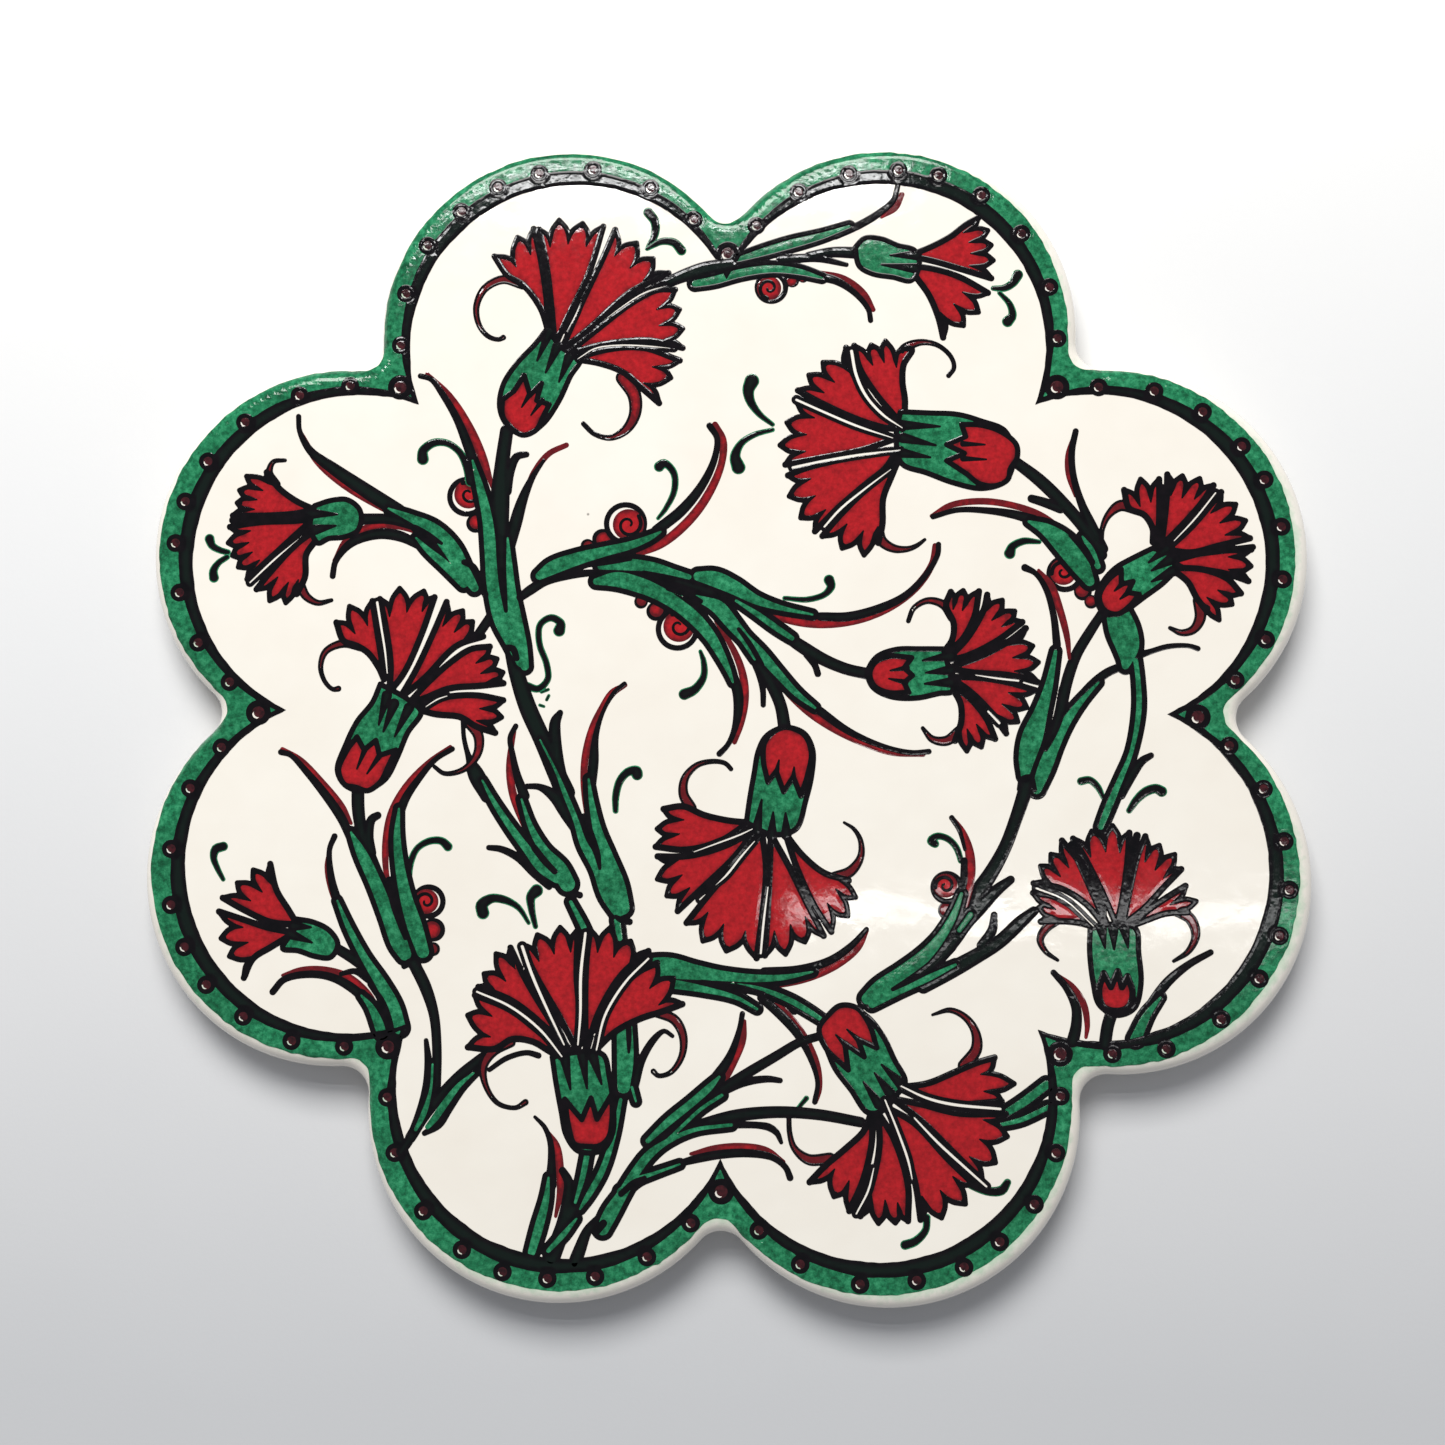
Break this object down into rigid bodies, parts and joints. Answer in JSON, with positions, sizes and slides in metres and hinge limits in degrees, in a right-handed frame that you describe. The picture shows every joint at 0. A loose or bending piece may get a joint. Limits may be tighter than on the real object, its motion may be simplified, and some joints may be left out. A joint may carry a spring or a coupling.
{
  "type": "hand painted scalloped plate",
  "caption": "Flat eight-lobed ceramic plate with a rounded glazed edge, painted in raised enamel with carnations and leaves inside a green border.",
  "frame": {"origin": "centre of the flat underside", "axes": "+Z out of the painted face; +X and +Y through the notches between the lobes, with +Y to the top of the painting"},
  "size_m": [0.1706, 0.1706, 0.008],
  "materials": {
    "biscuit": "unglazed fired body, matt and slightly sandy",
    "cream_glaze": "clear glaze over cream slip, glossy with faint orange peel and small dark specks",
    "green_enamel": "copper green under gloss, granular, softly bleeding at its outer edge",
    "red_enamel": "raised bole red under gloss, darker towards its outlines",
    "black_enamel": "raised black outline under gloss",
    "maroon_enamel": "raised dark red beads under gloss"
  },
  "bodies": {
    "root": {"black_contour_line": "black_enamel", "carnation_01_calyx": "green_enamel", "carnation_01_petals": "red_enamel", "carnation_02_calyx": "green_enamel", "carnation_02_petals": "red_enamel", "carnation_03_calyx": "green_enamel", "carnation_03_petals": "red_enamel", "carnation_04_calyx": "green_enamel", "carnation_04_petals": "red_enamel", "carnation_05_calyx": "green_enamel", "carnation_05_petals": "red_enamel", "carnation_06_calyx": "green_enamel", "carnation_06_petals": "red_enamel", "carnation_07_calyx": "green_enamel", "carnation_07_petals": "red_enamel", "carnation_08_calyx": "green_enamel", "carnation_08_petals": "red_enamel", "carnation_09_calyx": "green_enamel", "carnation_09_petals": "red_enamel", "carnation_10_calyx": "green_enamel", "carnation_10_petals": "red_enamel", "carnation_11_calyx": "green_enamel", "carnation_11_petals": "red_enamel", "carnation_12_calyx": "green_enamel", "carnation_12_petals": "red_enamel", "ceramic_body": "biscuit", "cusp_dot_01": "maroon_enamel", "cusp_dot_02": "maroon_enamel", "cusp_dot_03": "maroon_enamel", "cusp_dot_04": "maroon_enamel", "cusp_dot_05": "maroon_enamel", "cusp_dot_06": "maroon_enamel", "cusp_dot_07": "maroon_enamel", "cusp_dot_08": "maroon_enamel", "glaze_coat": "cream_glaze", "green_border_band": "green_enamel", "leaf_01": "green_enamel", "leaf_02": "green_enamel", "leaf_03": "green_enamel", "leaf_04": "green_enamel", "leaf_05": "green_enamel", "leaf_06": "green_enamel", "leaf_07": "green_enamel", "leaf_08": "green_enamel", "leaf_09": "green_enamel", "leaf_10": "green_enamel", "leaf_11": "green_enamel", "leaf_12": "green_enamel", "leaf_13": "green_enamel", "scroll_bud_01": "red_enamel", "scroll_bud_02": "red_enamel", "scroll_bud_03": "red_enamel", "scroll_bud_04": "red_enamel", "scroll_bud_05": "red_enamel", "scroll_bud_06": "red_enamel", "scroll_bud_07": "red_enamel"}
  },
  "joints": []
}
